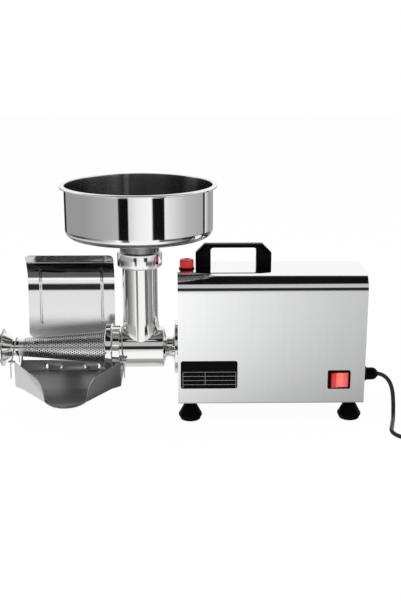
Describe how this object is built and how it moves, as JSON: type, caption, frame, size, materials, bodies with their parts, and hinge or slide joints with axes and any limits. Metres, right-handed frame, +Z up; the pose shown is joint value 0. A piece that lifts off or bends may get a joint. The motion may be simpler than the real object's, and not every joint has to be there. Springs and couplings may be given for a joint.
{
  "type": "electric tomato press",
  "caption": "Electric tomato press: steel gear-motor housing, screw press body, hopper, perforated cone, juice tray and splash guard.",
  "frame": {"origin": "centre of the object's bounding box in plan, without its mains cord, on the surface the feet stand on", "axes": "+X along the screw axis from the waste spout towards the motor, +Y away from the front with the switch, +Z up"},
  "size_m": [0.7424, 0.2601, 0.368],
  "materials": {
    "stainless_sheet": "bright and fine brushed",
    "perforated_stainless": "perforated, bright",
    "stainless_wire": "drawn, bright",
    "polished_cast_iron": "polished",
    "zinc_plated_steel": "zinc plated",
    "black_plate": "printed black",
    "black_nylon": "satin",
    "red_plastic": "gloss",
    "black_rubber": "matt",
    "black_pvc": "satin",
    "nickel_plated_brass": "nickel plated",
    "painted_aluminium": "painted grey",
    "laminated_steel": "bare laminations",
    "copper_wire": "varnished",
    "steel": "ground",
    "gear_bronze": "machined",
    "bush_bronze": "machined",
    "white_plastic": "satin"
  },
  "bodies": {
    "frame": {"base_chassis": "stainless_sheet", "housing_cover": "stainless_sheet", "motor_cradle": "stainless_sheet", "capacitor_clip": "stainless_sheet", "strainer_cone": "perforated_stainless", "press_body": "polished_cast_iron", "waste_spout": "polished_cast_iron", "hub_flange": "polished_cast_iron", "cover_screws": "zinc_plated_steel", "handle_screws": "zinc_plated_steel", "foot_screws": "zinc_plated_steel", "gearbox_screws": "zinc_plated_steel", "hub_screws": "zinc_plated_steel", "hub_studs": "zinc_plated_steel", "hub_nuts": "zinc_plated_steel", "rating_plate": "black_plate", "carry_handle": "black_nylon", "gland_body": "black_nylon", "gland_nut": "black_nylon", "gland_locknut": "black_nylon", "switch_housing": "black_nylon", "rubber_feet": "black_rubber", "oil_plug_seal": "black_rubber", "output_seal": "black_rubber", "power_cord": "black_pvc", "cord_coil": "black_pvc", "plug_body": "black_pvc", "plug_pins": "nickel_plated_brass", "motor_shell": "painted_aluminium", "motor_end_bell": "painted_aluminium", "gearbox_housing": "painted_aluminium", "gearbox_cover": "painted_aluminium", "stator_core": "laminated_steel", "stator_windings": "copper_wire", "motor_bearings": "steel", "output_bearings": "steel", "middle_bushes": "bush_bronze", "neck_bush": "bush_bronze", "run_capacitor": "white_plastic"},
    "rotor": {"rotor_core": "laminated_steel", "rotor_shaft": "steel", "cooling_fan": "black_nylon"},
    "middle": {"middle_wheel": "gear_bronze", "middle_shaft": "steel"},
    "screw": {"output_wheel": "gear_bronze", "output_shaft": "steel", "screw_shaft": "steel", "press_screw": "polished_cast_iron"},
    "rocker": {"switch_rocker": "red_plastic"},
    "oil_plug": {"oil_filler_plug": "red_plastic"},
    "hopper": {"hopper": "stainless_sheet"},
    "nut": {"ring_nut": "polished_cast_iron"},
    "tray": {"juice_tray": "stainless_sheet", "body_hanger": "stainless_wire", "strainer_hanger": "stainless_wire"},
    "guard": {"splash_guard": "stainless_sheet"}
  },
  "joints": [
    {"name": "rotor_spin", "type": "hinge", "parent": "frame", "child": "rotor", "pos_m": [0.12425, 0, 0.17201], "axis": [1, 0, 0], "continuous": true},
    {"name": "middle_spin", "type": "hinge", "parent": "frame", "child": "middle", "pos_m": [0.01425, 0.02239, 0.14846], "axis": [1, 0, 0], "continuous": true},
    {"name": "screw_spin", "type": "hinge", "parent": "frame", "child": "screw", "pos_m": [-0.07575, 0, 0.106], "axis": [1, 0, 0], "continuous": true},
    {"name": "switch_rock", "type": "hinge", "parent": "frame", "child": "rocker", "pos_m": [0.23325, -0.059, 0.0702], "axis": [0, 0, 1], "range_deg": [-16, 0]},
    {"name": "oil_plug_lift", "type": "slide", "parent": "frame", "child": "oil_plug", "axis": [0, 0, 1], "range_m": [0, 0.03]},
    {"name": "hopper_lift", "type": "slide", "parent": "frame", "child": "hopper", "axis": [0, 0, 1], "range_m": [0, 0.12]},
    {"name": "ring_nut_turn", "type": "hinge", "parent": "frame", "child": "nut", "pos_m": [-0.11975, 0, 0.106], "axis": [1, 0, 0], "range_deg": [0, 90]},
    {"name": "tray_swing", "type": "hinge", "parent": "frame", "child": "tray", "pos_m": [-0.18975, 0, 0.106], "axis": [1, 0, 0], "range_deg": [-8, 8]},
    {"name": "guard_lift", "type": "slide", "parent": "tray", "child": "guard", "axis": [0, 0, 1], "range_m": [0, 0.0075]}
  ],
  "couplings": [
    {"joint": "middle_spin", "follows": "rotor_spin", "ratio": -0.3},
    {"joint": "screw_spin", "follows": "rotor_spin", "ratio": 0.084}
  ]
}
